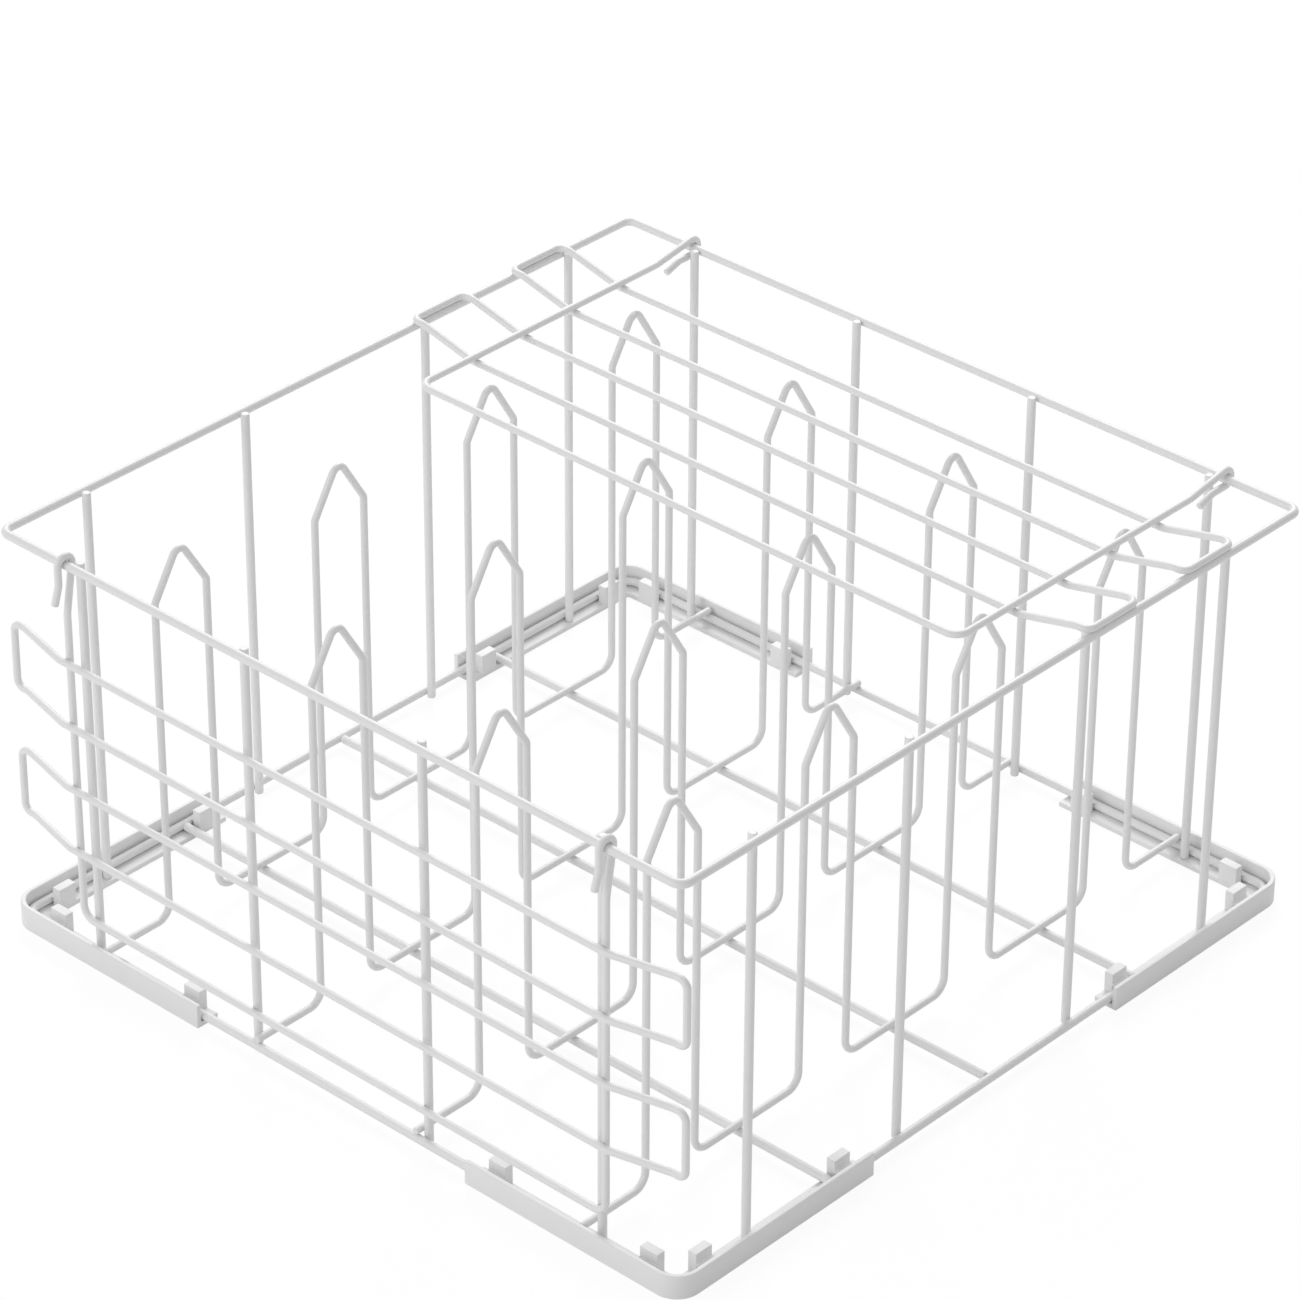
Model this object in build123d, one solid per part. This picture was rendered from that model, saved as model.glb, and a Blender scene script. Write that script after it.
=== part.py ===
"""Coated wire basket for a rack-type dishwasher, in millimetres.

A cage of welded wire: a square rim over a square base ring, sixteen upright wall wires, four bent
rows of pins on three floor wires, four moulded corner shoes that clip onto the base ring, and two
shelves that hook round the front and back rims and swing over them.
The origin is under the middle of the basket, on the surface it stands on: +X right, +Y back, +Z up.
"""

import math
import os

from build123d import *

# Wire
WIRE = 5.0                 # rim, base ring, wall wires and floor wires, over the coating
THIN_WIRE = 4.2            # pin rows and shelves, over the coating
WELD_SINK = 0.1            # how far two welded wires are pressed into each other
CUT_CHAMFER = 0.6          # softened edge of a cut wire end

# Cage
CAGE_SPAN = 488.0          # rim and base ring, centre to centre of opposite sides
RIM_RISE = 244.1           # base ring centre to rim centre
RIM_CORNER_RADIUS = 6.0    # bend at the rim's corners, at the wire's centre
WALL_TOP_RISE = 1.8        # tops of the wall wires above the rim's centre
SIDE_WALL_SPACING = 140.0  # between the two inner wall wires of the left and right sides
OUTER_WALL_GAP = 4.85      # clear space between an outer pin row and the wall wire beside it
FLOOR_WIRE_PITCH = 125.0   # from one floor wire to the next

# Pin rows
PIN_PITCH = 118.7          # from pin to pin along a row, and from row to row
PIN_COUNT = 4              # pins in a row, and rows in the basket
PIN_WIDTH = 37.5           # between the two legs of a pin, at the wire's centre
PIN_POINT = 31.0           # from a pin's shoulders up to the corner of its point
PIN_HEADROOM = 7.7         # from the corner of the point up to the rim's centre
FOOT_RADIUS = 9.0          # bend from a flat run up into a leg
SHOULDER_RADIUS = 4.0      # bend at a pin's shoulder
POINT_RADIUS = 5.0         # bend at a pin's point
ROW_OVERHANG = 1.0         # cut ends of a row past the base ring's centre

# Corner shoes
SHOE_FLOOR = 3.0           # thickness of the plate under the base ring
SHOE_WALL = 3.0            # thickness of the outer wall
SHOE_HEIGHT = 14.5         # outer wall, from the underside
SHOE_CORNER_RADIUS = 15.0  # outer wall's corner
SHOE_WALL_GAP = 0.5        # between the base ring and the outer wall
SHOE_SEAT_GAP = 0.1        # between the base ring and the plate
SHOE_EDGE_RADIUS = 0.8     # rounded rim and ends of the outer wall
SHOE_THROAT_RADIUS = 2.0   # plate's inside corner
CLIP_GAP = 1.0             # between the base ring and a clip's post
CLIP_POST = 5.6            # thickness of a clip's post
CLIP_LENGTH = 12.0         # along the leg
CLIP_LIP = 1.5             # how far a clip's lip stands out towards the wall
CLIP_LIP_GAP = 0.3         # base ring's top to the underside of a clip's lip
CLIP_LIP_EDGE = 0.5        # height of the lip's upright edge
CLIP_LEAD_IN = 1.0         # height of the slope above the lip that guides the base ring in
CLIP_HEAD = 6.6            # from the lip's underside to a clip's top
CLIP_EDGE_CHAMFER = 0.5    # edges of a clip's top
CLIP_WIRE_GAP = 2.2        # between an end clip and the floor wire beside it
CLIP_END_MARGIN = 8.3      # from an end clip to the end of its leg
CORNER_CLIP_SETBACK = 23.4 # from the shoe's outer face to the corner clip

# Fold-over shelves
SHELF_FOOT_GAP = 9.6       # clear space between a hanging shelf's front bar and the shoes' walls
SHELF_CORNER_RADIUS = 8.0  # bend between an arm and the front bar
HOOK_CLEARANCE = 0.35      # between the rim and the inside of a hook
HOOK_SIDE_GAP = 2.2        # clear space between an arm and the wall wire beside it
ARM_DROP_RUN = 30.0        # rim centre to the place where an arm turns level
ARM_BEND_RADIUS = 20.0     # bend where the arm turns level
TAIL_RUN = 11.0            # rim centre to the kink in a hook's tail
TAIL_LENGTH = 11.0         # from the kink to the cut end
TAIL_SPLAY = 3.5           # how far the cut end stands off from the tail's line
TAIL_RADIUS = 10.0         # bend at the kink
LOOP_COUNT = 2             # closed loops under each shelf
FIRST_LOOP = 58.5          # rim centre to the nearest loop run
LOOP_PITCH = 40.0          # from one loop run to the next
LOOP_CORNER_RADIUS = 5.0   # bends at a loop's ends
LOOP_KINK_OFFSET = 4.0     # from an arm out to the kink where the loop starts to rise
LOOP_KINK_RADIUS = 15.0    # bends at both ends of the rise
LOOP_LEVEL_RUN = 3.0       # level piece between the rise and the end bend
LOOP_REST_GAP = 0.3        # between a loop's end and the side rim that it rests on
HANGING_TURN = -90.0       # from a level shelf to one that hangs outside the front

# Derived places
wire_radius = WIRE / 2
thin_radius = THIN_WIRE / 2
cage_half = CAGE_SPAN / 2
shoe_half = cage_half + wire_radius + SHOE_WALL_GAP + SHOE_WALL
ring_level = SHOE_FLOOR + SHOE_SEAT_GAP + wire_radius
rim_level = ring_level + RIM_RISE
ring_corner_radius = SHOE_CORNER_RADIUS - (shoe_half - cage_half)
wall_line = cage_half - WIRE + WELD_SINK
row_level = ring_level + wire_radius + thin_radius - WELD_SINK
row_places = [(index - (PIN_COUNT - 1) / 2) * PIN_PITCH for index in range(PIN_COUNT)]
inner_wall_place = PIN_PITCH / 2 + wire_radius + thin_radius - WELD_SINK
outer_wall_place = row_places[-1] + wire_radius + thin_radius + OUTER_WALL_GAP
clip_face = cage_half - wire_radius - CLIP_GAP
plate_edge = clip_face - CLIP_POST
end_clip_start = FLOOR_WIRE_PITCH - wire_radius - CLIP_WIRE_GAP - CLIP_LENGTH
corner_clip_start = shoe_half - CORNER_CLIP_SETBACK - CLIP_LENGTH
leg_end = end_clip_start - CLIP_END_MARGIN
shelf_reach = rim_level - SHOE_HEIGHT - SHELF_FOOT_GAP - thin_radius
arm_place = outer_wall_place + wire_radius + thin_radius + HOOK_SIDE_GAP
hook_radius = wire_radius + HOOK_CLEARANCE + thin_radius
loop_drop = THIN_WIRE - WELD_SINK
loop_rest = wire_radius + LOOP_REST_GAP + thin_radius


def straight_wire(start, end, diameter):
    """A round wire, cut square at both ends."""
    run = Vector(end) - Vector(start)
    upright = (Align.CENTER, Align.CENTER, Align.MIN)
    return Plane(origin=start, z_dir=run) * Cylinder(diameter / 2, run.length, align=upright)


def bent_wire(path, diameter):
    """A round wire swept along a path of straight runs and tangent bends."""
    section = Plane(origin=path @ 0, z_dir=path % 0) * Circle(diameter / 2)
    return sweep(section, path=path)


def with_soft_cuts(wire):
    """The same wire with the edges of its cut ends taken off."""
    return chamfer(wire.faces().filter_by(GeomType.PLANE).edges(), CUT_CHAMFER)


def square_ring(level, corner_radius):
    """A closed wire: the cage's square with round corners, starting in the middle of a side."""
    corners = [(-cage_half, -cage_half), (cage_half, -cage_half), (cage_half, cage_half), (-cage_half, cage_half)]
    path = FilletPolyline(*[(x, y, level) for x, y in corners], radius=corner_radius, close=True)
    return bent_wire(Wire(path.edges()), WIRE)


def wall_wire(x, y):
    """An upright wire, welded inside the rim and inside the base ring."""
    foot = (x, y, ring_level - wire_radius)
    top = (x, y, rim_level + WALL_TOP_RISE)
    return with_soft_cuts(straight_wire(foot, top, WIRE))


def floor_wire(y):
    """A cross wire under the pin rows, its ends butted against the inside of the base ring."""
    end = cage_half - wire_radius + WELD_SINK
    return straight_wire((-end, y, ring_level), (end, y, ring_level), WIRE)


def pin_row(x):
    """One bent wire: flat runs on the floor wires, with a pointed pin between each pair."""
    point_level = rim_level - PIN_HEADROOM
    shoulder_level = point_level - PIN_POINT
    row_end = cage_half + ROW_OVERHANG
    points = [(x, -row_end, row_level)]
    radii = []
    for place in row_places:
        near = place - PIN_WIDTH / 2
        far = place + PIN_WIDTH / 2
        points += [(x, near, row_level), (x, near, shoulder_level), (x, place, point_level)]
        points += [(x, far, shoulder_level), (x, far, row_level)]
        radii += [FOOT_RADIUS, SHOULDER_RADIUS, POINT_RADIUS, SHOULDER_RADIUS, FOOT_RADIUS]
    points.append((x, row_end, row_level))
    path = FilletPolyline(*points, radius=radii)
    return with_soft_cuts(bent_wire(Wire(path.edges()), THIN_WIRE))


def shoe_band(width, inner_radius):
    """Plan of an L along the outside of a shoe in the back right corner."""
    inside = shoe_half - width
    corners = [(leg_end, shoe_half), (shoe_half, shoe_half), (shoe_half, leg_end)]
    corners += [(inside, leg_end), (inside, inside), (leg_end, inside)]
    face = make_face(Polyline(*corners, close=True))
    face = fillet(face.vertices().sort_by_distance((shoe_half, shoe_half))[0], SHOE_CORNER_RADIUS)
    return fillet(face.vertices().sort_by_distance((inside, inside))[0], inner_radius)


def shoe_clip(start):
    """A clip on the leg along X: a post behind the base ring with a lip that catches over it."""
    lip_level = ring_level + wire_radius + CLIP_LIP_GAP
    slope_level = lip_level + CLIP_LIP_EDGE
    top = lip_level + CLIP_HEAD
    lip = clip_face + CLIP_LIP
    outline = [(plate_edge, 0), (clip_face, 0), (clip_face, lip_level), (lip, lip_level)]
    outline += [(lip, slope_level), (clip_face, slope_level + CLIP_LEAD_IN)]
    outline += [(clip_face, top - CLIP_EDGE_CHAMFER), (clip_face - CLIP_EDGE_CHAMFER, top)]
    outline += [(plate_edge + CLIP_EDGE_CHAMFER, top), (plate_edge, top - CLIP_EDGE_CHAMFER)]
    across = Plane(origin=(start, 0, 0), x_dir=(0, 1, 0), z_dir=(1, 0, 0))
    return extrude(across * make_face(Polyline(*outline, close=True)), CLIP_LENGTH)


def corner_shoe(turn):
    """A moulded L-shaped shoe under one corner of the base ring, turned from the back right corner."""
    plate = extrude(shoe_band(shoe_half - plate_edge, SHOE_THROAT_RADIUS), SHOE_FLOOR)
    wall = extrude(shoe_band(SHOE_WALL, SHOE_CORNER_RADIUS - SHOE_WALL), SHOE_HEIGHT)
    wall = fillet(wall.faces().sort_by(Axis.Z)[-1].edges(), SHOE_EDGE_RADIUS)
    leg_clips = shoe_clip(end_clip_start) + shoe_clip(corner_clip_start)
    diagonal = Plane(origin=(0, 0, 0), x_dir=(1, 1, 0), z_dir=(1, -1, 0))
    shoe = plate + wall + leg_clips + mirror(leg_clips, about=diagonal)
    return shoe.rotate(Axis.Z, turn)


def shelf_point(x, reach, rise):
    """A place on the level back shelf: reach from the rim's centre inwards, rise above it."""
    return (x, cage_half - reach, rim_level + rise)


def shelf_frame():
    """One bent wire: two arms and a front bar, with hooks that wrap round the rim."""
    slope = math.asin(hook_radius / ARM_DROP_RUN)
    leave = (hook_radius * math.sin(slope), hook_radius * math.cos(slope))
    tail = [(TAIL_RUN + TAIL_LENGTH, -hook_radius - TAIL_SPLAY), (TAIL_RUN, -hook_radius), (0, -hook_radius)]
    edges = []
    for side in (-1, 1):
        x = side * arm_place
        edges += FilletPolyline(*[shelf_point(x, *place) for place in tail], radius=TAIL_RADIUS).edges()
        wrap = [shelf_point(x, *place) for place in ((0, -hook_radius), (-hook_radius, 0), leave)]
        edges += ThreePointArc(*wrap).edges()
    arms = [shelf_point(-arm_place, *leave), shelf_point(-arm_place, ARM_DROP_RUN, 0)]
    arms += [shelf_point(-arm_place, shelf_reach, 0), shelf_point(arm_place, shelf_reach, 0)]
    arms += [shelf_point(arm_place, ARM_DROP_RUN, 0), shelf_point(arm_place, *leave)]
    bends = [ARM_BEND_RADIUS, SHELF_CORNER_RADIUS, SHELF_CORNER_RADIUS, ARM_BEND_RADIUS]
    edges += FilletPolyline(*arms, radius=bends).edges()
    return with_soft_cuts(bent_wire(Wire(edges), THIN_WIRE))


def shelf_loop(index):
    """A closed wire under the arms, with ends that rise to rest on the side rims."""
    near = FIRST_LOOP + 2 * index * LOOP_PITCH
    far = near + LOOP_PITCH
    kink = arm_place + LOOP_KINK_OFFSET
    top = cage_half - LOOP_CORNER_RADIUS - LOOP_LEVEL_RUN
    half = [(kink, -loop_drop), (top, loop_rest), (cage_half, loop_rest)]
    bends = [LOOP_KINK_RADIUS, LOOP_KINK_RADIUS, LOOP_CORNER_RADIUS]
    points = [shelf_point(x, near, rise) for x, rise in half]
    points += [shelf_point(x, far, rise) for x, rise in reversed(half)]
    points += [shelf_point(-x, far, rise) for x, rise in half]
    points += [shelf_point(-x, near, rise) for x, rise in reversed(half)]
    radii = (bends + bends[::-1]) * 2
    path = FilletPolyline(*points, radius=radii, close=True)
    return bent_wire(Wire(path.edges()), THIN_WIRE)


def hung_in_front(piece):
    """A piece of the level back shelf, turned round to the front rim and let down outside it."""
    front_rim = Axis((0, -cage_half, rim_level), (1, 0, 0))
    return piece.rotate(Axis.Z, 180).rotate(front_rim, HANGING_TURN)


def basket():
    """Every piece of the basket, by name."""
    pieces = {
        "top_rim": square_ring(rim_level, RIM_CORNER_RADIUS),
        "base_ring": square_ring(ring_level, ring_corner_radius),
    }
    front_places = [-outer_wall_place, -inner_wall_place, inner_wall_place, outer_wall_place]
    side_places = [-outer_wall_place, -SIDE_WALL_SPACING / 2, SIDE_WALL_SPACING / 2, outer_wall_place]
    for number, (along_front, along_side) in enumerate(zip(front_places, side_places), start=1):
        pieces[f"wall_wire_front_{number}"] = wall_wire(along_front, -wall_line)
        pieces[f"wall_wire_back_{number}"] = wall_wire(along_front, wall_line)
        pieces[f"wall_wire_left_{number}"] = wall_wire(-wall_line, along_side)
        pieces[f"wall_wire_right_{number}"] = wall_wire(wall_line, along_side)
    for number, place in enumerate((-FLOOR_WIRE_PITCH, 0, FLOOR_WIRE_PITCH), start=1):
        pieces[f"floor_wire_{number}"] = floor_wire(place)
    for number, place in enumerate(row_places, start=1):
        pieces[f"pin_row_{number}"] = pin_row(place)
    for turn, corner in enumerate(("back_right", "back_left", "front_left", "front_right")):
        pieces[f"corner_shoe_{corner}"] = corner_shoe(90 * turn)
    pieces["back_shelf_frame"] = shelf_frame()
    pieces["front_shelf_frame"] = hung_in_front(shelf_frame())
    for index in range(LOOP_COUNT):
        pieces[f"back_shelf_loop_{index + 1}"] = shelf_loop(index)
        pieces[f"front_shelf_loop_{index + 1}"] = hung_in_front(shelf_loop(index))
    return pieces


os.makedirs("parts", exist_ok=True)
for name, piece in basket().items():
    export_step(piece, f"parts/{name}.step")
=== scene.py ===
import math
from functools import partial

import bmesh
import bpy
from mathutils import Matrix, Vector


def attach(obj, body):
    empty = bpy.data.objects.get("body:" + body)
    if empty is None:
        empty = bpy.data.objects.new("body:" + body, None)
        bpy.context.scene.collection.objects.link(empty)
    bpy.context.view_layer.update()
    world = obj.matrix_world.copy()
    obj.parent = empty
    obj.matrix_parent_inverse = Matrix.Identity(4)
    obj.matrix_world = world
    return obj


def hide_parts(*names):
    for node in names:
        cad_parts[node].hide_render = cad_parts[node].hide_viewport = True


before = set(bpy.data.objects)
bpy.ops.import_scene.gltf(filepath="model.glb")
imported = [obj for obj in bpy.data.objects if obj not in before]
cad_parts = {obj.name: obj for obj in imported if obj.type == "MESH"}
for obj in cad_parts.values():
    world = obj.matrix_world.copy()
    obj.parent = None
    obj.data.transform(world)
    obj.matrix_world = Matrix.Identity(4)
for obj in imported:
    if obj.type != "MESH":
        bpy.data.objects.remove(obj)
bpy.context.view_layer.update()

# Base ring: one length of steel wire, bent to a square with round corners and welded shut.
# White nylon is melted onto the whole welded cage, so its skin is satin and a little uneven.
# The ring lies in the four corner shoes and carries the floor and the walls.
MM = 0.001
FRAME_WIRE = 5.0 * MM
CAGE_HALF = 244.0 * MM
RING_LEVEL = 5.6 * MM
RING_CORNER = 9.0 * MM
SECTION_SIDES = 28
BEND_STEPS = 12
CUT_ROUND = 0.8 * MM
CUT_STEPS = 4
COAT_WHITE = (0.86, 0.86, 0.855, 1.0)
COAT_SHADE = (0.82, 0.82, 0.82, 1.0)
COAT_IOR = 1.53
COAT_ROUGHNESS = 0.34
CLOUD_ROUGHNESS = 0.12
CLOUDS_PER_METRE = 16.0
PEEL_PER_METRE = 480.0
GRAIN_PER_METRE = 2600.0
GRAIN_SHARE = 0.25
PEEL_STRENGTH = 0.18
PEEL_DEPTH = 0.15 * MM


class Wired:
    """A socket in a node tree. Sums and products add Math nodes, and node() adds a node of any type."""

    def __init__(self, tree, socket):
        self.tree = tree
        self.socket = socket

    def node(self, kind, settings, inputs, output=0):
        """Adds a node, sets it up, fills its sockets with values or links, and gives one output."""
        made = self.tree.nodes.new(kind)
        for name, value in settings.items():
            setattr(made, name, value)
        for name, value in inputs.items():
            if isinstance(value, Wired):
                self.tree.links.new(value.socket, made.inputs[name])
            else:
                made.inputs[name].default_value = value
        return Wired(self.tree, made.outputs[output])

    def maths(self, operation, left, right):
        return self.node("ShaderNodeMath", {"operation": operation}, {0: left, 1: right})

    def __add__(self, other):
        return self.maths("ADD", self, other)

    def __radd__(self, other):
        return self.maths("ADD", other, self)

    def __mul__(self, other):
        return self.maths("MULTIPLY", self, other)

    def __rmul__(self, other):
        return self.maths("MULTIPLY", other, self)


def new_finish(name, ior):
    """A new finish, and the places on a piece that its patterns follow."""
    finish = bpy.data.materials.new(name)
    finish.use_nodes = True
    tree = finish.node_tree
    tree.nodes["Principled BSDF"].inputs["IOR"].default_value = ior
    return finish, Wired(tree, tree.nodes.new("ShaderNodeTexCoord").outputs["Object"])


def noise(place, scale, detail, distortion=0.0):
    """A cloudy pattern, with about as many spots to the metre as its scale says."""
    return place.node("ShaderNodeTexNoise", {}, {
        "Vector": place, "Scale": scale, "Detail": detail, "Distortion": distortion})


def colour_between(share, shade, white):
    """A colour between two. The Mix node's colours go by number, because its names repeat."""
    return share.node("ShaderNodeMix", {"data_type": "RGBA"}, {0: share, 6: shade, 7: white}, output=2)


def relief(height, strength, depth):
    """A fine relief for a finish's Normal."""
    return height.node("ShaderNodeBump", {}, {"Height": height, "Strength": strength, "Distance": depth})


def link_looks(finish, looks):
    """Leads patterns to the sockets of a finish that they are named for."""
    skin = finish.node_tree.nodes["Principled BSDF"]
    for name, value in looks.items():
        finish.node_tree.links.new(value.socket, skin.inputs[name])


def nylon_coat():
    """White nylon melted onto wire: satin, with orange peel and faint clouds in its colour and gloss."""
    finish, place = new_finish("white_nylon_coat", COAT_IOR)
    cloud = noise(place, CLOUDS_PER_METRE, detail=4.0)
    peel = noise(place, PEEL_PER_METRE, detail=2.0)
    grain = noise(place, GRAIN_PER_METRE, detail=1.0)
    link_looks(finish, {
        "Base Color": colour_between(cloud, COAT_SHADE, COAT_WHITE),
        "Roughness": COAT_ROUGHNESS + CLOUD_ROUGHNESS * cloud,
        "Normal": relief(peel + GRAIN_SHARE * grain, PEEL_STRENGTH, PEEL_DEPTH)})
    return finish


def new_tree(name, wanted):
    """A geometry node tree with named inputs, and those inputs."""
    tree = bpy.data.node_groups.new(name, "GeometryNodeTree")
    for label, kind in wanted.items():
        tree.interface.new_socket(label, in_out="INPUT", socket_type=kind)
    tree.interface.new_socket("Copies", in_out="OUTPUT", socket_type="NodeSocketGeometry")
    given = tree.nodes.new("NodeGroupInput")
    return tree, [Wired(tree, given.outputs[label]) for label in wanted]


def end_tree(copies, finish):
    """Ends a tree: the copies become real, take a finish and go out."""
    whole = copies.node("GeometryNodeRealizeInstances", {}, {"Geometry": copies})
    whole = copies.node("GeometryNodeSetMaterial", {}, {"Geometry": whole, "Material": finish})
    copies.tree.links.new(whole.socket, copies.tree.nodes.new("NodeGroupOutput").inputs[0])


def wire_tree():
    """Geometry nodes: a round section swept along a path with rounded corners, and a copy at each place."""
    tree, (path, places, diameter, sides, steps, finish) = new_tree("coated_wire", {
        "Path": "NodeSocketGeometry", "Places": "NodeSocketObject", "Diameter": "NodeSocketFloat",
        "Section Sides": "NodeSocketInt", "Bend Steps": "NodeSocketInt", "Coat": "NodeSocketMaterial"})
    bend, girth = [path.node("GeometryNodeInputNamedAttribute", {"data_type": "FLOAT"}, {"Name": label})
                   for label in ("bend", "girth")]
    line = path.node("GeometryNodeMeshToCurve", {}, {"Mesh": path})
    line = path.node("GeometryNodeFilletCurve", {"mode": "POLY"},
                     {"Curve": line, "Count": steps, "Radius": bend})
    section = path.node("GeometryNodeCurvePrimitiveCircle", {"mode": "RADIUS"},
                        {"Resolution": sides, "Radius": 0.5 * diameter})
    wire = path.node("GeometryNodeCurveToMesh", {},
                     {"Curve": line, "Profile Curve": section, "Scale": girth, "Fill Caps": True})
    wire = path.node("GeometryNodeSetShadeSmooth", {}, {"Geometry": wire})
    spots = path.node("GeometryNodeObjectInfo", {}, {"Object": places}, output="Geometry")
    copies = path.node("GeometryNodeInstanceOnPoints", {}, {"Points": spots, "Instance": wire})
    end_tree(copies, finish)
    return tree


def put_in_scene(name, mesh):
    """A new object at the origin for a mesh."""
    thing = bpy.data.objects.new(name, mesh)
    bpy.context.collection.objects.link(thing)
    return thing


def line_mesh(name, points, edges, values):
    """Points and edges as an object, with named numbers or vectors for every point."""
    mesh = bpy.data.meshes.new(name)
    mesh.from_pydata(points, edges, [])
    for label, (kind, field, numbers) in values.items():
        layer = mesh.attributes.new(label, kind, "POINT")
        layer.data.foreach_set(field, numbers)
    return put_in_scene(name, mesh)


def grown(name, tree, start, settings, helpers):
    """The plain mesh that geometry nodes make from a start object, as a piece at the origin."""
    modifier = start.modifiers.new("grow", "NODES")
    modifier.node_group = tree
    for item in tree.interface.items_tree:
        if item.in_out == "INPUT" and item.name in settings:
            modifier[item.identifier] = settings[item.name]
    evaluated = start.evaluated_get(bpy.context.evaluated_depsgraph_get())
    mesh = bpy.data.meshes.new_from_object(evaluated)
    start.modifiers.remove(modifier)
    for helper in (start, *helpers):
        bpy.data.objects.remove(helper)
    return put_in_scene(name, mesh)


def cut_end(end, inward, diameter):
    """The points of a softly rounded cut end, from its face inwards, and how full the wire is at each."""
    run = (inward - end).normalized()
    turns = [math.pi / 2 * step / CUT_STEPS for step in range(CUT_STEPS + 1)]
    points = [end + run * CUT_ROUND * (1 - math.cos(turn)) for turn in turns]
    girths = [1 - 2 * CUT_ROUND / diameter * (1 - math.sin(turn)) for turn in turns]
    return points, girths


def wires(name, diameter, points, bends, places=((0, 0, 0),), closed=False):
    """Coated wires of one shape at several places. Open wires get rounded cut ends."""
    points = [Vector(point) for point in points]
    girths = [1.0] * len(points)
    if not closed:
        first, first_girths = cut_end(points[0], points[1], diameter)
        last, last_girths = cut_end(points[-1], points[-2], diameter)
        points = first + points[1:-1] + last[::-1]
        girths = first_girths + girths[1:-1] + last_girths[::-1]
        unbent = [0.0] * len(first)
        bends = unbent + bends[1:-1] + unbent
    edges = [(index, index + 1) for index in range(len(points) - 1)]
    if closed:
        edges.append((len(points) - 1, 0))
    path = line_mesh(name + "_path", points, edges, {
        "bend": ("FLOAT", "value", bends), "girth": ("FLOAT", "value", girths)})
    spots = line_mesh(name + "_places", [Vector(place) for place in places], [], {})
    settings = {"Places": spots, "Diameter": diameter, "Section Sides": SECTION_SIDES,
                "Bend Steps": BEND_STEPS, "Coat": coat}
    return grown(name, swept_wire, path, settings, [spots])


def square(half, level):
    return [(-half, -half, level), (half, -half, level), (half, half, level), (-half, half, level)]


def square_wire(name, level, corner):
    """A closed square of frame wire with round corners, as wide as the cage."""
    points = square(CAGE_HALF, level)
    return wires(name, FRAME_WIRE, points, [corner] * len(points), closed=True)


def fitted(piece, body, nodes):
    """The piece rides on its body and stands for its solids, if it has any."""
    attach(piece, body)
    if nodes:
        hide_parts(*nodes)


coat = nylon_coat()
swept_wire = wire_tree()
base_ring = square_wire("base_ring_wire", RING_LEVEL, RING_CORNER)
fitted(base_ring, "basket", ["base_ring"])

# Floor wires: three straight lengths of the same coated wire across the base.
# Their cut ends butt against the inside of the base ring and are welded there.
FLOOR_WIRE_PITCH = 125.0 * MM
WELD_SINK = 0.1 * MM
STRAIGHT = [0.0, 0.0]


def numbered(stem, count):
    """The names of a run of solids, from stem_1 on."""
    return [f"{stem}_{number}" for number in range(1, count + 1)]


floor_places = [-FLOOR_WIRE_PITCH, 0.0, FLOOR_WIRE_PITCH]
floor_end = CAGE_HALF - FRAME_WIRE / 2 + WELD_SINK
floor_run = [(-floor_end, 0, RING_LEVEL), (floor_end, 0, RING_LEVEL)]
floor_wires = wires("floor_wires", FRAME_WIRE, floor_run, STRAIGHT, [(0, y, 0) for y in floor_places])
fitted(floor_wires, "basket", numbered("floor_wire", len(floor_places)))

# Pin rows: four thinner wires, each bent in a jig into four pointed pins with flat runs between them.
# The flats are welded on top of the floor wires and the base ring, and the same coat covers them.
THIN_WIRE = 4.2 * MM
PIN_COUNT = 4
PIN_PITCH = 118.7 * MM
PIN_HALF_WIDTH = 18.75 * MM
PIN_HEADROOM = 7.7 * MM
POINT_HEIGHT = 31.0 * MM
PIN_BENDS = [9.0 * MM, 4.0 * MM, 5.0 * MM, 4.0 * MM, 9.0 * MM]
RIM_LEVEL = 249.7 * MM
POINT_LEVEL = RIM_LEVEL - PIN_HEADROOM
SHOULDER_LEVEL = POINT_LEVEL - POINT_HEIGHT
ROW_LEVEL = RING_LEVEL + FRAME_WIRE / 2 + THIN_WIRE / 2 - WELD_SINK
ROW_OVERHANG = 1.0 * MM
ROW_END = CAGE_HALF + ROW_OVERHANG

# The rows stand as far apart as the pins in a row.
row_places = [(step - (PIN_COUNT - 1) / 2) * PIN_PITCH for step in range(PIN_COUNT)]
row_points = [(0, -ROW_END, ROW_LEVEL)]
for middle in row_places:
    near, far = middle - PIN_HALF_WIDTH, middle + PIN_HALF_WIDTH
    row_points += [(0, near, ROW_LEVEL), (0, near, SHOULDER_LEVEL), (0, middle, POINT_LEVEL)]
    row_points += [(0, far, SHOULDER_LEVEL), (0, far, ROW_LEVEL)]
row_points.append((0, ROW_END, ROW_LEVEL))
row_bends = [0.0] + PIN_BENDS * PIN_COUNT + [0.0]
pin_rows = wires("pin_rows", THIN_WIRE, row_points, row_bends, [(x, 0, 0) for x in row_places])
fitted(pin_rows, "basket", numbered("pin_row", PIN_COUNT))

# Wall wires: sixteen straight uprights, cut to length, four to a side.
# Each is welded inside the base ring and inside the rim, and its cut top ends just under the rim's top.
WALL_LINE = CAGE_HALF - FRAME_WIRE + WELD_SINK
WALL_RISE = 1.8 * MM
OUTER_WALL = 187.5 * MM
INNER_WALL = PIN_PITCH / 2 + FRAME_WIRE / 2 + THIN_WIRE / 2 - WELD_SINK
SIDE_INNER_WALL = 70.0 * MM

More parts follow.
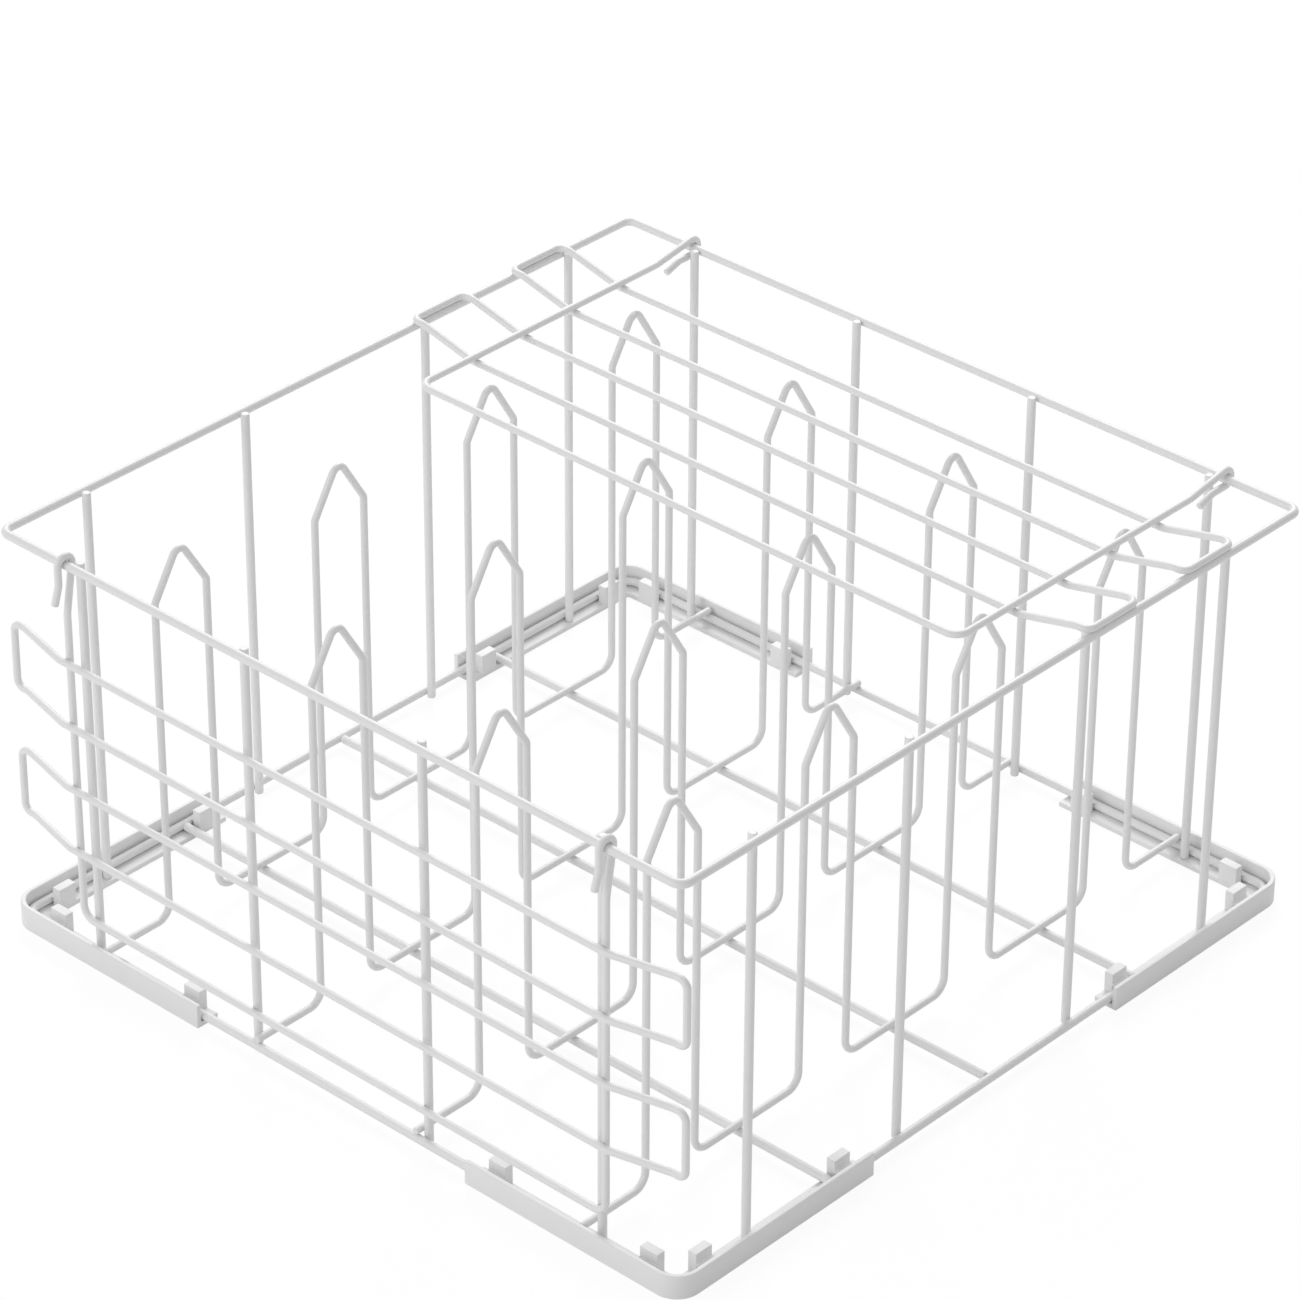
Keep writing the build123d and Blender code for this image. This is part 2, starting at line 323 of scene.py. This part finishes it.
front_places = [-OUTER_WALL, -INNER_WALL, INNER_WALL, OUTER_WALL]
side_places = [-OUTER_WALL, -SIDE_INNER_WALL, SIDE_INNER_WALL, OUTER_WALL]
wall_places = [(x, side * WALL_LINE, 0) for side in (-1, 1) for x in front_places]
wall_places += [(side * WALL_LINE, y, 0) for side in (-1, 1) for y in side_places]
wall_run = [(0, 0, RING_LEVEL - FRAME_WIRE / 2), (0, 0, RIM_LEVEL + WALL_RISE)]
wall_wires = wires("wall_wires", FRAME_WIRE, wall_run, STRAIGHT, wall_places)
wall_nodes = []
for side in ("front", "right", "back", "left"):
    wall_nodes += numbered(f"wall_wire_{side}", len(side_places))
fitted(wall_wires, "basket", wall_nodes)

# Top rim: the same closed square of wire as the base ring, with tighter corners.
# It ties the tops of the wall wires together, and the two shelves hang on it.
RIM_CORNER = 6.0 * MM

top_rim = square_wire("top_rim_wire", RIM_LEVEL, RIM_CORNER)
fitted(top_rim, "basket", ["top_rim"])

# Weld fillets of the cage: where welded wires cross, the molten nylon draws into the crevice and sets.
# Each is a low drop between the two wires, hollowed round its edge.
FILLET_GAP = 0.35 * MM
FILLET_WAIST = 0.2
FILLET_SINK = 0.06 * MM
FILLET_CORE = 1.0 * MM
FILLET_SIDES = 24
FILLET_LEVELS = 5
FILLET_CREASE = math.radians(50)


def fillet_ring(share, upper, lower):
    """The edge of a fillet at a share of the way up from the lower wire to the upper one."""
    waist = 1 - FILLET_WAIST * math.sin(math.pi * share)
    points = []
    for step in range(FILLET_SIDES):
        angle = math.tau * step / FILLET_SIDES
        along, across = math.cos(angle), math.sin(angle)
        reach = math.sqrt(2 * FILLET_GAP / (along ** 2 / lower + across ** 2 / upper))
        x, y = reach * along, reach * across
        floor = math.sqrt(lower ** 2 - x ** 2) - lower - FILLET_SINK
        roof = upper - math.sqrt(upper ** 2 - y ** 2) + FILLET_SINK
        points.append((x * waist, y * waist, floor + (roof - floor) * share))
    return points


def skinned(shape, rings):
    """Rings of points as vertices of a shape, with faces from each ring to the next."""
    rings = [[shape.verts.new(point) for point in ring] for ring in rings]
    for first, second in zip(rings, rings[1:]):
        for index in range(len(first)):
            shape.faces.new((first[index - 1], first[index], second[index], second[index - 1]))
    return rings


def smooth_mesh(name, shape, crease):
    """A finished shape as a mesh, smooth but for the edges that are sharper than a crease angle."""
    for face in shape.faces:
        face.smooth = True
    mesh = bpy.data.meshes.new(name)
    shape.to_mesh(mesh)
    shape.free()
    mesh.set_sharp_from_angle(angle=crease)
    return mesh


def fillet_mesh(name, upper, lower):
    """The nylon between a wire along X and the wire along Y that it touches from above, by their radii."""
    shape = bmesh.new()
    shares = [level / FILLET_LEVELS for level in range(FILLET_LEVELS + 1)]
    rings = skinned(shape, [fillet_ring(share, upper, lower) for share in shares])
    below, above = [shape.verts.new((0, 0, z)) for z in (-FILLET_CORE, FILLET_CORE)]
    for step in range(FILLET_SIDES):
        shape.faces.new((below, rings[0][step], rings[0][step - 1]))
        shape.faces.new((above, rings[-1][step - 1], rings[-1][step]))
    return smooth_mesh(name, shape, FILLET_CREASE)


def spread_tree():
    """Geometry nodes: a copy of one shape at each place, turned as the place says."""
    tree, (places, shape, finish) = new_tree("spread_shapes", {
        "Places": "NodeSocketGeometry", "Shape": "NodeSocketObject", "Finish": "NodeSocketMaterial"})
    turn = places.node("GeometryNodeInputNamedAttribute", {"data_type": "FLOAT_VECTOR"}, {"Name": "turn"})
    turn = places.node("FunctionNodeEulerToRotation", {}, {"Euler": turn})
    shape = places.node("GeometryNodeObjectInfo", {}, {"Object": shape}, output="Geometry")
    copies = places.node("GeometryNodeInstanceOnPoints", {},
                         {"Points": places, "Instance": shape, "Rotation": turn})
    end_tree(copies, finish)
    return tree


def spread(name, mesh, placings, finish):
    """Copies of a mesh, each at a place and with a turn, as one piece."""
    shape = put_in_scene(name + "_shape", mesh)
    turns = [number for _, turn in placings for number in turn]
    start = line_mesh(name + "_places", [place for place, _ in placings], [], {
        "turn": ("FLOAT_VECTOR", "vector", turns)})
    return grown(name, spread_shapes, start, {"Shape": shape, "Finish": finish}, [shape])


def weld(place, upper_way, rise):
    """A fillet's place and turn: the upper wire's direction, and the way from the lower wire to it."""
    upper_way, rise = Vector(upper_way), Vector(rise)
    axes = Matrix((upper_way, rise.cross(upper_way), rise)).transposed()
    return Vector(place), axes.to_euler()


def joined(name, parts):
    """Several pieces as one piece."""
    whole = bmesh.new()
    for part in parts:
        whole.from_mesh(part.data)
    mesh = parts[0].data.copy()
    whole.to_mesh(mesh)
    whole.free()
    for part in parts:
        bpy.data.objects.remove(part)
    return put_in_scene(name, mesh)


spread_shapes = spread_tree()
inside = CAGE_HALF - FRAME_WIRE / 2
wall_welds = []
for level in (RING_LEVEL, RIM_LEVEL):
    for side in (-1, 1):
        wall_welds += [weld((x, side * inside, level), (0, 0, 1), (0, -side, 0)) for x in front_places]
        wall_welds += [weld((side * inside, y, level), (0, 0, 1), (-side, 0, 0)) for y in side_places]
wall_fillet = fillet_mesh("wall_fillet", FRAME_WIRE / 2, FRAME_WIRE / 2)
wall_fillets = spread("wall_fillets", wall_fillet, wall_welds, coat)
row_top = RING_LEVEL + FRAME_WIRE / 2
row_welds = []
for x in row_places:
    for y in [-CAGE_HALF, *floor_places, CAGE_HALF]:
        row_welds.append(weld((x, y, row_top), (0, 1, 0), (0, 0, 1)))
# The two inner rows also lie against the inner wall wires.
for x in row_places[1:-1]:
    way = math.copysign(1, x)
    touch = x + way * THIN_WIRE / 2
    for side in (-1, 1):
        row_welds.append(weld((touch, side * WALL_LINE, ROW_LEVEL), (0, 1, 0), (-way, 0, 0)))
row_fillet = fillet_mesh("row_fillet", THIN_WIRE / 2, FRAME_WIRE / 2)
row_fillets = spread("row_fillets", row_fillet, row_welds, coat)
cage_fillets = joined("cage_weld_fillets", [wall_fillets, row_fillets])
fitted(cage_fillets, "basket", [])

# Corner shoes: four L-shaped channels, injection moulded in white plastic.
# Each snaps onto the base ring: a plate under it, a wall outside it and clips inside it.
# A clip is a block on the plate's inner edge with a small lip, low down, that catches over the ring.
SHOE_HALF = 250.0 * MM
LEG_END = 100.0 * MM
SHOE_CORNER = 15.0 * MM
SHOE_CORNER_STEPS = 16
SHOE_CREASE = math.radians(40)
THROAT = 2.0 * MM
BEND_MARGIN = 1.0 * MM
CLIP_STARTS = [108.3 * MM, 214.6 * MM]
CLIP_LENGTH = 12.0 * MM

# Sections are in millimetres: depth from the shoe's outer face and height above the ground.
# Each has a round for every corner, and one for the edges of its ends.
CHANNEL = [(0, 0), (15.1, 0), (15.1, 3.0), (3.0, 3.0), (3.0, 14.5), (0, 14.5)]
CHANNEL_ROUNDS = [0.6, 0.6, 0.9, 0.8, 0.8, 0.8]
CHANNEL_END = 0.5
CLIP = [(9.5, 0.7), (15.13, 0.7), (15.13, 15.0), (9.5, 15.0)]
CLIP_ROUNDS = [0.31, 0.31, 0.31, 0.31]
CLIP_END = 0.3
LIP = [(8.0, 7.7), (9.6, 7.7), (9.6, 9.1), (8.0, 8.1)]
LIP_ROUNDS = [0.07, 0.07, 0.07, 0.07]
LIP_END = 0.06
LEAST_ROUND = 0.02
FLAT_MARGIN = 0.25
EDGE_STEPS = 4

SHOE_WHITE = (0.88, 0.88, 0.875, 1.0)
SHOE_SHADE = (0.84, 0.84, 0.845, 1.0)
SHOE_IOR = 1.49
SHOE_ROUGHNESS = 0.42
FLOW_ROUGHNESS = 0.12
FLOWS_PER_METRE = 24.0
FLOW_DISTORTION = 0.6
MOULD_GRAIN_PER_METRE = 1700.0
MOULD_GRAIN_STRENGTH = 0.15
MOULD_GRAIN_DEPTH = 0.05 * MM


def outline(corners, rounds, inset, margin):
    """A closed outline with round corners, taken in by an inset. A margin beside bends keeps flats flat."""
    points = []
    for index, (corner, radius) in enumerate(zip(corners, rounds)):
        corner = Vector(corner)
        back = (Vector(corners[index - 1]) - corner).normalized()
        ahead = (Vector(corners[(index + 1) % len(corners)]) - corner).normalized()
        half = back.angle(ahead) / 2
        bisector = (back + ahead).normalized()
        bulge = math.copysign(1, ahead.cross(back))
        corner = corner + bisector * inset * bulge / math.sin(half)
        turn = max(radius - inset * bulge, LEAST_ROUND)
        centre = corner + bisector * turn / math.sin(half)
        start = corner + back * turn / math.tan(half) - centre
        sweep = bulge * (math.pi - 2 * half)
        points.append(centre + start + back * margin)
        for step in range(EDGE_STEPS + 1):
            points.append(centre + Matrix.Rotation(sweep * step / EDGE_STEPS, 2) @ start)
        points.append(corner + ahead * (turn / math.tan(half) + margin))
    return [point * MM for point in points]


def bar(shape, corners, rounds, end_round, near, middle, far):
    """A moulded bar: a section swept from a near end over middle stations to a far end, with round edges."""
    margin = end_round * FLAT_MARGIN
    tapers = [(end_round + margin, 0.0)]
    for step in range(EDGE_STEPS + 1):
        angle = math.pi / 2 * step / EDGE_STEPS
        tapers.append((end_round * (1 - math.sin(angle)), end_round * (1 - math.cos(angle))))

    def ring(spot, inset):
        return [(*spot(depth), z) for depth, z in outline(corners, rounds, inset, margin)]

    rings = [ring(partial(near, axial=axial * MM), inset) for inset, axial in tapers]
    rings += [ring(spot, 0) for spot in middle]
    rings += [ring(partial(far, axial=axial * MM), inset) for inset, axial in reversed(tapers)]
    rings = skinned(shape, rings)
    shape.faces.new(rings[0])
    shape.faces.new(rings[-1])


def round_corner(angle, before=0.0, after=0.0):
    """A station of the channel at an angle round its corner, or a little before or after the bend."""
    def spot(depth):
        radius = max(SHOE_CORNER - depth, THROAT)
        centre = SHOE_HALF - depth - radius
        return (centre + radius * math.sin(angle) - before, centre + radius * math.cos(angle) - after)
    return spot


def on_leg(start, way, swapped):
    """Places on a leg: a depth from its outer face, and a way along it from a start."""
    def spot(depth, axial):
        place = (start + way * axial, SHOE_HALF - depth)
        return place[::-1] if swapped else place
    return spot


def shoe_mesh():
    """A shoe for the back right corner, standing at the base ring's place."""
    shape = bmesh.new()
    angles = [math.pi / 2 * step / SHOE_CORNER_STEPS for step in range(SHOE_CORNER_STEPS + 1)]
    bend = [round_corner(0.0, before=BEND_MARGIN)]
    bend += [round_corner(angle) for angle in angles]
    bend.append(round_corner(math.pi / 2, after=BEND_MARGIN))
    legs = [on_leg(LEG_END, 1, swapped) for swapped in (False, True)]
    bar(shape, CHANNEL, CHANNEL_ROUNDS, CHANNEL_END, legs[0], bend, legs[1])
    for start in CLIP_STARTS:
        for swapped in (False, True):
            ends = (on_leg(start, 1, swapped), [], on_leg(start + CLIP_LENGTH, -1, swapped))
            bar(shape, CLIP, CLIP_ROUNDS, CLIP_END, *ends)
            bar(shape, LIP, LIP_ROUNDS, LIP_END, *ends)
    bmesh.ops.recalc_face_normals(shape, faces=shape.faces)
    return smooth_mesh("corner_shoe", shape, SHOE_CREASE)


def moulded_plastic():
    """White moulded plastic: an even satin skin with a fine mould grain and faint flow clouds."""
    finish, place = new_finish("white_moulded_plastic", SHOE_IOR)
    flow = noise(place, FLOWS_PER_METRE, detail=3.0, distortion=FLOW_DISTORTION)
    grain = noise(place, MOULD_GRAIN_PER_METRE, detail=2.0)
    link_looks(finish, {
        "Base Color": colour_between(flow, SHOE_SHADE, SHOE_WHITE),
        "Roughness": SHOE_ROUGHNESS + FLOW_ROUGHNESS * flow,
        "Normal": relief(grain, MOULD_GRAIN_STRENGTH, MOULD_GRAIN_DEPTH)})
    return finish


shoe_corners = ("back_right", "back_left", "front_left", "front_right")
shoe_turns = [(Vector((0, 0, 0)), (0, 0, math.pi / 2 * quarter)) for quarter in range(len(shoe_corners))]
shoes = spread("corner_shoes", shoe_mesh(), shoe_turns, moulded_plastic())
fitted(shoes, "basket", [f"corner_shoe_{corner}" for corner in shoe_corners])

# Shelves: each is one thin wire bent to a U, with two closed loops of the same wire welded under it.
# The U's ends are hooks, closed loosely round the rim, so the shelf swings over it and can't be lost.
# Level, the ends of the loops rest on the side rims.
SHELF_REACH = 223.5 * MM
SHELF_CORNER = 8.0 * MM
ARM_PLACE = 194.3 * MM
ARM_DROP_RUN = 30.0 * MM
ARM_BEND = 20.0 * MM
HOOK_SLACK = 0.35 * MM
HOOK_RADIUS = FRAME_WIRE / 2 + HOOK_SLACK + THIN_WIRE / 2
# The hook's two bends fill the run between them, all but a trace.
HOOK_FIT = 0.999
HOOK_BEND = HOOK_FIT * HOOK_RADIUS
TAIL_RUN = 11.0 * MM
TAIL_REACH = 22.0 * MM
TAIL_DROP = 3.5 * MM
TAIL_BEND = 10.0 * MM
LOOP_STARTS = [58.5 * MM, 138.5 * MM]
LOOP_WIDTH = 40.0 * MM
LOOP_CORNER = 5.0 * MM
LOOP_DROP = THIN_WIRE - WELD_SINK
LOOP_SLACK = 0.3 * MM
LOOP_REST = FRAME_WIRE / 2 + LOOP_SLACK + THIN_WIRE / 2
KINK_PAST_ARM = 4.0 * MM
LOOP_KINK = ARM_PLACE + KINK_PAST_ARM
LOOP_KINK_BEND = 15.0 * MM
LOOP_FLAT = 3.0 * MM
LOOP_RISE_END = CAGE_HALF - LOOP_CORNER - LOOP_FLAT


def on_shelf(x, reach, rise):
    """A place on the level back shelf: reach from the rim inwards, rise above the rim's centre."""
    return (x, CAGE_HALF - reach, RIM_LEVEL + rise)


def shelf_frame(name):
    """The U with its two hooks, as the level back shelf has it."""
    slope = math.asin(HOOK_RADIUS / ARM_DROP_RUN)
    crown = (ARM_DROP_RUN + HOOK_RADIUS) * math.tan(slope)
    half = [(TAIL_REACH, -HOOK_RADIUS - TAIL_DROP), (TAIL_RUN, -HOOK_RADIUS), (-HOOK_RADIUS, -HOOK_RADIUS),
            (-HOOK_RADIUS, crown), (ARM_DROP_RUN, 0), (SHELF_REACH, 0)]
    bends = [0.0, TAIL_BEND, HOOK_BEND, HOOK_BEND, ARM_BEND, SHELF_CORNER]
    points = [on_shelf(-ARM_PLACE, *place) for place in half]
    points += [on_shelf(ARM_PLACE, *place) for place in reversed(half)]
    return wires(name, THIN_WIRE, points, bends + bends[::-1])


def shelf_loops(name):
    """Both closed loops, as the level back shelf has them."""
    near = LOOP_STARTS[0]
    far = near + LOOP_WIDTH
    half = [(LOOP_KINK, -LOOP_DROP), (LOOP_RISE_END, LOOP_REST), (CAGE_HALF, LOOP_REST)]
    bends = [LOOP_KINK_BEND, LOOP_KINK_BEND, LOOP_CORNER]
    points = [on_shelf(x, near, rise) for x, rise in half]
    points += [on_shelf(x, far, rise) for x, rise in reversed(half)]
    points += [on_shelf(-x, far, rise) for x, rise in half]
    points += [on_shelf(-x, near, rise) for x, rise in reversed(half)]
    places = [(0, near - start, 0) for start in LOOP_STARTS]
    return wires(name, THIN_WIRE, points, (bends + bends[::-1]) * 2, places, closed=True)


def shelf_fillets(name):
    """Nylon fillets between the loops and the arms above them."""
    welds = []
    for start in LOOP_STARTS:
        for reach in (start, start + LOOP_WIDTH):
            for x in (-ARM_PLACE, ARM_PLACE):
                welds.append(weld(on_shelf(x, reach, -THIN_WIRE / 2), (0, 1, 0), (0, 0, 1)))
    return spread(name, fillet_mesh(name + "_shape", THIN_WIRE / 2, THIN_WIRE / 2), welds, coat)


# The front shelf is the back one, turned to the front rim and let down outside it.
front_rim = Matrix.Translation((0, -CAGE_HALF, RIM_LEVEL))
let_down = front_rim @ Matrix.Rotation(-math.pi / 2, 4, "X") @ front_rim.inverted()
hung_in_front = let_down @ Matrix.Rotation(math.pi, 4, "Z")
for side, turn in (("back", Matrix.Identity(4)), ("front", hung_in_front)):
    body = f"{side}_shelf"
    frame_wire = shelf_frame(f"{side}_shelf_frame_wire")
    loops = shelf_loops(f"{side}_shelf_loops")
    fillets = shelf_fillets(f"{side}_shelf_fillets")
    for piece in (frame_wire, loops, fillets):
        piece.data.transform(turn)
    fitted(frame_wire, body, [f"{side}_shelf_frame"])
    fitted(loops, body, numbered(f"{side}_shelf_loop", len(LOOP_STARTS)))
    fitted(fillets, body, [])

# Studio: a seamless white floor that keeps a faint shadow, and two soft lamps, back left and front left.
# To the camera the floor and the room are plain white.
FLOOR_HALF = 30.0
FLOOR_GREY = (0.88, 0.88, 0.88, 1.0)
FLOOR_GLOW = 1.045
FLOOR_SHARE = 0.86
ROOM_LIGHT = 0.49
WHITE = (1.0, 1.0, 1.0, 1.0)
LAMP_AIM = Vector((0, 0, 0.1))
# Each softbox has a name, a place, a side length and a power.
SOFTBOXES = (("back_left_softbox", (-3.0, 3.6, 3.72), 3.0, 185.0),
             ("front_left_softbox", (-1.7, -5.5, 2.5), 4.4, 107.0))


def seen_directly(tree):
    """1 where a ray comes from the camera, a mirror-like surface or glass."""
    path = tree.nodes.new("ShaderNodeLightPath")
    camera, mirror, glass = [Wired(tree, path.outputs[name])
                             for name in ("Is Camera Ray", "Is Glossy Ray", "Is Transmission Ray")]
    return camera.maths("MAXIMUM", camera.maths("MAXIMUM", camera, mirror), glass)


floor_mesh = bpy.data.meshes.new("studio_floor")
floor_mesh.from_pydata(square(FLOOR_HALF, 0), [], [(0, 1, 2, 3)])
floor = put_in_scene("studio_floor", floor_mesh)
paper = bpy.data.materials.new("white_paper")
paper.use_nodes = True
paper_nodes = paper.node_tree.nodes
paper_nodes.remove(paper_nodes["Principled BSDF"])
seen = seen_directly(paper.node_tree)
shaded = seen.node("ShaderNodeBsdfDiffuse", {}, {"Color": FLOOR_GREY})
glow = seen.node("ShaderNodeEmission", {}, {"Color": WHITE, "Strength": FLOOR_GLOW})
blank = seen.node("ShaderNodeMixShader", {}, {0: FLOOR_SHARE * seen, 1: shaded, 2: glow})
paper.node_tree.links.new(blank.socket, paper_nodes["Material Output"].inputs["Surface"])
floor_mesh.materials.append(paper)

room = bpy.data.worlds.new("white_room")
room.use_nodes = True
room_light = room.node_tree.nodes["Background"]
room_light.inputs["Color"].default_value = WHITE
strength = ROOM_LIGHT + (1 - ROOM_LIGHT) * seen_directly(room.node_tree)
room.node_tree.links.new(strength.socket, room_light.inputs["Strength"])
bpy.context.scene.world = room

for name, place, size, power in SOFTBOXES:
    lamp = bpy.data.lights.new(name, "AREA")
    lamp.size = size
    lamp.energy = power
    light = bpy.data.objects.new(name, lamp)
    light.location = place
    light.rotation_euler = (LAMP_AIM - Vector(place)).to_track_quat("-Z", "Y").to_euler()
    bpy.context.collection.objects.link(light)

# Camera: a long lens that looks down on the basket from its front right corner.
# Its place, its turns and its lens give the photograph's view. Lens and sensor are in millimetres.
EYE = (1.75749, -1.91746, 1.78728)
AZIMUTH = math.radians(42.5295)
ELEVATION = math.radians(31.8904)
ROLL = math.radians(0.3322)
LENS = 157.418
SENSOR = 36.0

level = Vector((math.cos(AZIMUTH), math.sin(AZIMUTH), 0))
outward = Vector((math.sin(AZIMUTH), -math.cos(AZIMUTH), 0))
back = math.cos(ELEVATION) * outward + math.sin(ELEVATION) * Vector((0, 0, 1))
upright = back.cross(level)
right = math.cos(ROLL) * level + math.sin(ROLL) * upright
upward = -math.sin(ROLL) * level + math.cos(ROLL) * upright
lens = bpy.data.cameras.new("camera")
lens.lens = LENS
lens.sensor_width = SENSOR
camera = bpy.data.objects.new("camera", lens)
camera.matrix_world = Matrix.Translation(EYE) @ Matrix((right, upward, back)).transposed().to_4x4()
bpy.context.collection.objects.link(camera)
bpy.context.scene.camera = camera
bpy.context.scene.view_settings.view_transform = "Standard"
